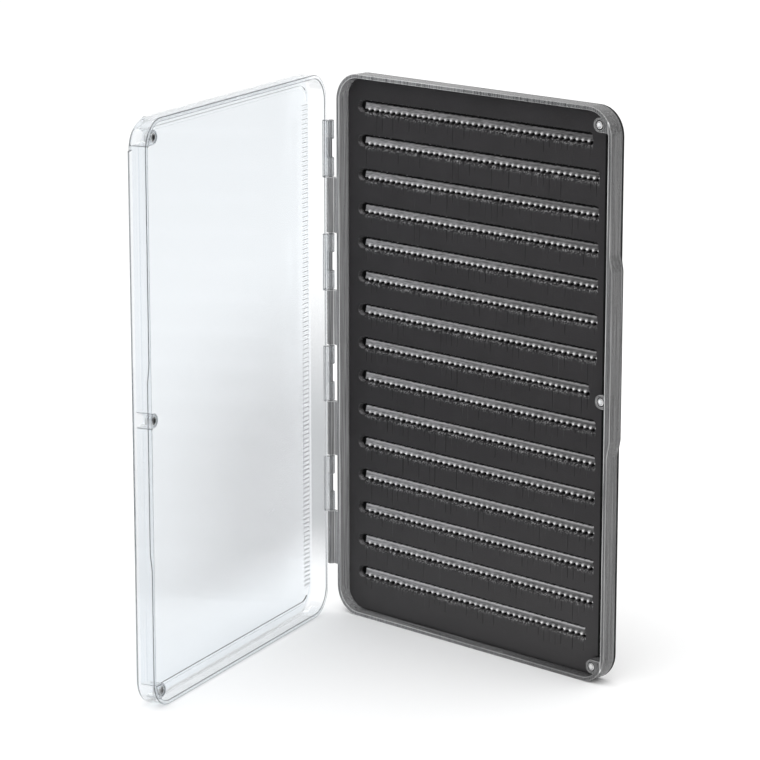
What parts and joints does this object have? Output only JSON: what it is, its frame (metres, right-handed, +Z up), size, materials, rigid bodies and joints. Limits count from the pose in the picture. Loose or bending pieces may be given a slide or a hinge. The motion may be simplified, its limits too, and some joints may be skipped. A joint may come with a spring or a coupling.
{
  "type": "fly box",
  "caption": "Slim fly box standing open on its end: smoke-grey tray with a slotted foam insert, and a clear lid on a pinned side hinge, held shut by small disc magnets",
  "frame": {"origin": "middle of the flat end face of the tray that the box stands on, at the floor", "axes": "+X runs across the tray away from the hinge, +Y runs from the tray's open rim to its back, +Z runs up the long side"},
  "size_m": [0.1227, 0.1202, 0.178],
  "materials": {
    "smoke_plastic": "smoke-grey translucent moulded plastic, satin inside",
    "clear_plastic": "clear moulded polycarbonate, polished, with a bare window",
    "foam": "dark grey closed-cell foam, matt, cut with slits",
    "adhesive": "thin double-sided adhesive sheet",
    "steel_pin": "drawn stainless wire",
    "magnet_silver": "nickel-plated disc magnet",
    "magnet_black": "black coated disc magnet"
  },
  "bodies": {
    "tray": {"base_tray": "smoke_plastic", "hinge_pin": "steel_pin", "foam_insert": "foam", "foam_adhesive": "adhesive", "base_magnet_top": "magnet_silver", "base_magnet_middle": "magnet_silver", "base_magnet_bottom": "magnet_silver"},
    "lid": {"lid_shell": "clear_plastic", "lid_magnet_top": "magnet_black", "lid_magnet_middle": "magnet_black", "lid_magnet_bottom": "magnet_black"}
  },
  "joints": [
    {"name": "lid_hinge", "type": "hinge", "parent": "tray", "child": "lid", "pos_m": [-0.0595, -0.0028, 0.089], "axis": [0, 0, -1], "range_deg": [-72.2, 107.8]}
  ]
}
